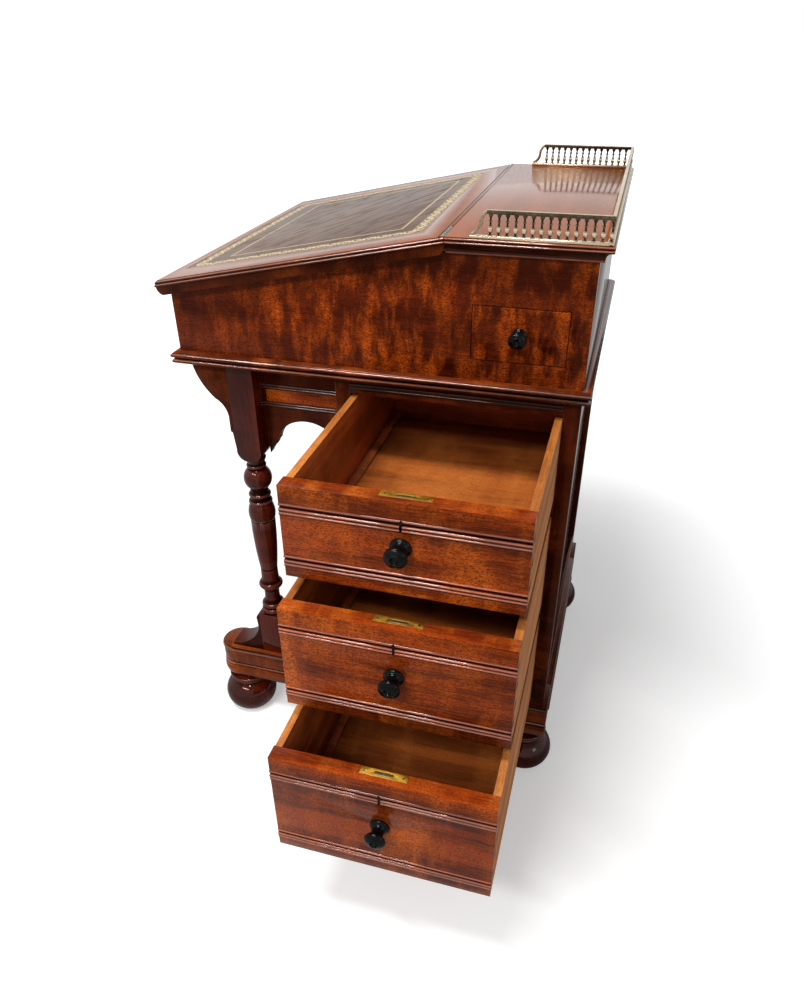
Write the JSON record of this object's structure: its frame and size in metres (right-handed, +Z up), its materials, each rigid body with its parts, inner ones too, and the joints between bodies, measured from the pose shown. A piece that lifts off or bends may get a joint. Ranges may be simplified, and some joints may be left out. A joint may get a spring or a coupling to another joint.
{
  "type": "davenport desk",
  "caption": "Davenport writing desk: sloped leather-topped lid over a well, side drawers in a pedestal, turned front legs on a bun-footed base, brass gallery.",
  "frame": {"origin": "on the floor, below the middle of the top's width and of its depth", "axes": "+X towards the side with the working drawers, +Y from the writer to the back, +Z up"},
  "size_m": [0.929, 0.6272, 0.94],
  "materials": {
    "mahogany": "french-polished, deep red-brown with orange flame figure",
    "drawer_lining": "plain planed cedar and pine, lightly sealed",
    "ebonised_wood": "high gloss black",
    "brass": "aged, polished on the high spots",
    "leather": "grey-brown hide with a gilt-tooled border"
  },
  "bodies": {
    "carcase": {"base_side_left": "mahogany", "base_side_right": "mahogany", "base_cross_rails": "mahogany", "bun_feet": "mahogany", "leg_left": "mahogany", "leg_right": "mahogany", "leg_brackets_upper": "mahogany", "leg_brackets_lower": "mahogany", "apron_left": "mahogany", "apron_right": "mahogany", "apron_beads": "mahogany", "corner_posts": "mahogany", "right_drawer_rails": "mahogany", "left_drawer_rails": "mahogany", "dummy_drawer_fronts": "mahogany", "pedestal_front_panel": "mahogany", "pedestal_back_rails": "mahogany", "pedestal_back_panel": "mahogany", "case_side_left": "mahogany", "case_side_right": "mahogany", "case_front_board": "mahogany", "case_back_board": "mahogany", "waist_moulding": "mahogany", "fixed_top": "mahogany", "base_floor": "drawer_lining", "case_floor_board": "drawer_lining", "drawer_runners": "drawer_lining", "pen_drawer_housing": "drawer_lining", "dummy_knobs": "ebonised_wood", "hinge_leaves_fixed": "brass", "hinge_pins": "brass", "gallery_rails": "brass", "gallery_spindles": "brass"},
    "lid": {"lid_board": "mahogany", "writing_leather": "leather", "hinge_leaves_lid": "brass"},
    "pen_drawer": {"pen_drawer_front": "mahogany", "pen_drawer_tray": "drawer_lining", "pen_drawer_knob": "ebonised_wood"},
    "drawer_1": {"drawer_1_front": "mahogany", "drawer_1_carcase": "drawer_lining", "drawer_1_floor": "drawer_lining", "drawer_1_knob": "ebonised_wood", "drawer_1_lock": "brass"},
    "bolt_1": {"drawer_1_bolt": "brass"},
    "drawer_2": {"drawer_2_front": "mahogany", "drawer_2_carcase": "drawer_lining", "drawer_2_floor": "drawer_lining", "drawer_2_knob": "ebonised_wood", "drawer_2_lock": "brass"},
    "bolt_2": {"drawer_2_bolt": "brass"},
    "drawer_3": {"drawer_3_front": "mahogany", "drawer_3_carcase": "drawer_lining", "drawer_3_floor": "drawer_lining", "drawer_3_knob": "ebonised_wood", "drawer_3_lock": "brass"},
    "bolt_3": {"drawer_3_bolt": "brass"}
  },
  "joints": [
    {"name": "lid_hinge", "type": "hinge", "parent": "carcase", "child": "lid", "pos_m": [0, 0.09725, 0.90475], "axis": [-1, 0, 0], "range_deg": [0, 104]},
    {"name": "drawer_1_slide", "type": "slide", "parent": "carcase", "child": "drawer_1", "axis": [1, 0, 0], "range_m": [-0.261, 0.119]},
    {"name": "drawer_2_slide", "type": "slide", "parent": "carcase", "child": "drawer_2", "axis": [1, 0, 0], "range_m": [-0.2965, 0.0835]},
    {"name": "drawer_3_slide", "type": "slide", "parent": "carcase", "child": "drawer_3", "axis": [1, 0, 0], "range_m": [-0.369, 0.011]},
    {"name": "lock_1_bolt_slide", "type": "slide", "parent": "drawer_1", "child": "bolt_1", "axis": [0, 0, 1], "range_m": [0, 0.007]},
    {"name": "lock_2_bolt_slide", "type": "slide", "parent": "drawer_2", "child": "bolt_2", "axis": [0, 0, 1], "range_m": [0, 0.007]},
    {"name": "lock_3_bolt_slide", "type": "slide", "parent": "drawer_3", "child": "bolt_3", "axis": [0, 0, 1], "range_m": [0, 0.007]},
    {"name": "pen_drawer_slide", "type": "slide", "parent": "carcase", "child": "pen_drawer", "axis": [1, 0, 0], "range_m": [0, 0.16]}
  ]
}
